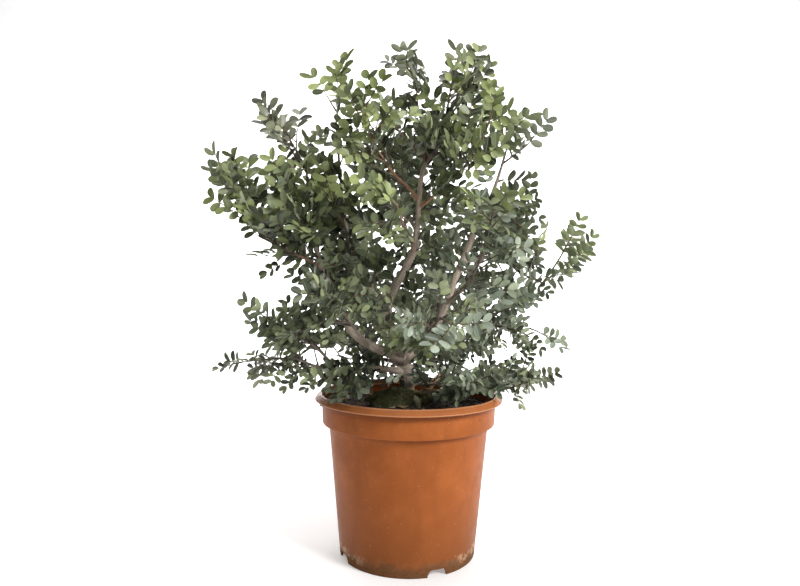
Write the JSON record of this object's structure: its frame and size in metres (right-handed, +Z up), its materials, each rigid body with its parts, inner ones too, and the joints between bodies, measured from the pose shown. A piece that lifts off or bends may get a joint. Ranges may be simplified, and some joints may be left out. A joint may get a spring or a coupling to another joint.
{
  "type": "mastic tree bonsai",
  "caption": "Bushy mastic tree trained as a bonsai, with bare forking limbs and leafy sprays of small paired leaflets, in a round plastic nursery pot of soil.",
  "frame": {"origin": "on the surface that the pot stands on, at the pot's axis, which is also the middle of the crown's width and depth", "axes": "+Z up along the pot's axis, +X to the viewer's right, -Y towards the viewer who sees the picture's side"},
  "size_m": [0.5024, 0.3638, 0.6677],
  "materials": {
    "pot": "orange-brown moulded plastic, satin, dull with dust and lime near the foot",
    "soil": "dark peaty potting soil with bark crumbs",
    "bark": "grey-brown bark, smooth on the young limbs and cracked at the foot",
    "leaf": "leathery evergreen leaf, satin above and paler below"
  },
  "bodies": {
    "root": {"pot": "pot", "soil": "soil", "trunk_and_limbs": "bark", "spray_01": "leaf", "spray_02": "leaf", "spray_03": "leaf", "spray_04": "leaf", "spray_05": "leaf", "spray_06": "leaf", "spray_07": "leaf", "spray_08": "leaf", "spray_09": "leaf", "spray_10": "leaf", "spray_11": "leaf", "spray_12": "leaf", "spray_13": "leaf", "spray_14": "leaf", "spray_15": "leaf", "spray_16": "leaf", "spray_17": "leaf", "spray_18": "leaf", "spray_19": "leaf", "spray_20": "leaf", "spray_21": "leaf", "spray_22": "leaf", "spray_23": "leaf", "spray_24": "leaf", "spray_25": "leaf", "spray_26": "leaf", "spray_27": "leaf", "spray_28": "leaf", "spray_29": "leaf", "spray_30": "leaf", "spray_31": "leaf", "spray_32": "leaf", "spray_33": "leaf", "spray_34": "leaf", "spray_35": "leaf", "spray_36": "leaf", "spray_37": "leaf", "spray_38": "leaf", "spray_39": "leaf", "spray_40": "leaf", "spray_41": "leaf", "spray_42": "leaf", "spray_43": "leaf", "spray_44": "leaf", "spray_45": "leaf", "spray_46": "leaf", "spray_47": "leaf", "spray_48": "leaf", "spray_49": "leaf", "spray_50": "leaf", "spray_51": "leaf", "spray_52": "leaf", "spray_53": "leaf", "spray_54": "leaf", "spray_55": "leaf", "spray_56": "leaf", "spray_57": "leaf"}
  },
  "joints": []
}
